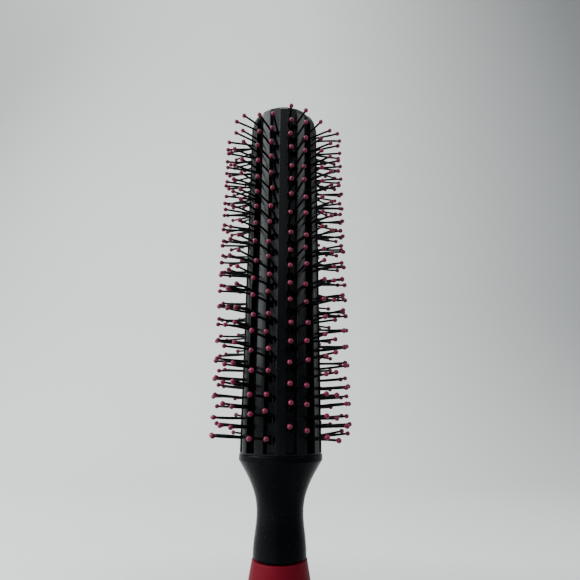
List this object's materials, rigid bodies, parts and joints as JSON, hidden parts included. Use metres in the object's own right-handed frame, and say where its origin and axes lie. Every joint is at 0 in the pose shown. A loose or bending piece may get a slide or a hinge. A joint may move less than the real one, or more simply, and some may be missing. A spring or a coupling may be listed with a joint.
{
  "type": "round styling hairbrush",
  "caption": "Round hairbrush: ribbed black barrel with rows of ball-tipped nylon pins, collar and waisted neck, soft red grip",
  "frame": {"origin": "centre of the flat butt of the grip, the lowest point of the brush standing on its butt", "axes": "+Z runs along the brush axis from the butt to the end cap; -Y is the direction that one barrel rib faces; +X is to the right seen from -Y"},
  "size_m": [0.0436, 0.0436, 0.2438],
  "materials": {
    "barrel_plastic": "black moulded plastic, satin gloss",
    "handle_plastic": "black moulded plastic, satin gloss",
    "grip_rubber": "deep red soft moulded sleeve, satin",
    "plug_plastic": "black moulded plastic",
    "pin_nylon": "black nylon filament",
    "ball_lacquer": "crimson glossy beads",
    "anchor_metal": "flat stamped strip, dark oxidised"
  },
  "bodies": {
    "root": {"barrel": "barrel_plastic", "end_cap": "barrel_plastic", "handle_core": "handle_plastic", "grip": "grip_rubber", "butt_plug": "plug_plastic", "pin_row_01": "pin_nylon", "ball_row_01": "ball_lacquer", "anchor_row_01": "anchor_metal", "pin_row_02": "pin_nylon", "ball_row_02": "ball_lacquer", "anchor_row_02": "anchor_metal", "pin_row_03": "pin_nylon", "ball_row_03": "ball_lacquer", "anchor_row_03": "anchor_metal", "pin_row_04": "pin_nylon", "ball_row_04": "ball_lacquer", "anchor_row_04": "anchor_metal", "pin_row_05": "pin_nylon", "ball_row_05": "ball_lacquer", "anchor_row_05": "anchor_metal", "pin_row_06": "pin_nylon", "ball_row_06": "ball_lacquer", "anchor_row_06": "anchor_metal", "pin_row_07": "pin_nylon", "ball_row_07": "ball_lacquer", "anchor_row_07": "anchor_metal", "pin_row_08": "pin_nylon", "ball_row_08": "ball_lacquer", "anchor_row_08": "anchor_metal", "pin_row_09": "pin_nylon", "ball_row_09": "ball_lacquer", "anchor_row_09": "anchor_metal", "pin_row_10": "pin_nylon", "ball_row_10": "ball_lacquer", "anchor_row_10": "anchor_metal", "pin_row_11": "pin_nylon", "ball_row_11": "ball_lacquer", "anchor_row_11": "anchor_metal", "pin_row_12": "pin_nylon", "ball_row_12": "ball_lacquer", "anchor_row_12": "anchor_metal"}
  },
  "joints": []
}
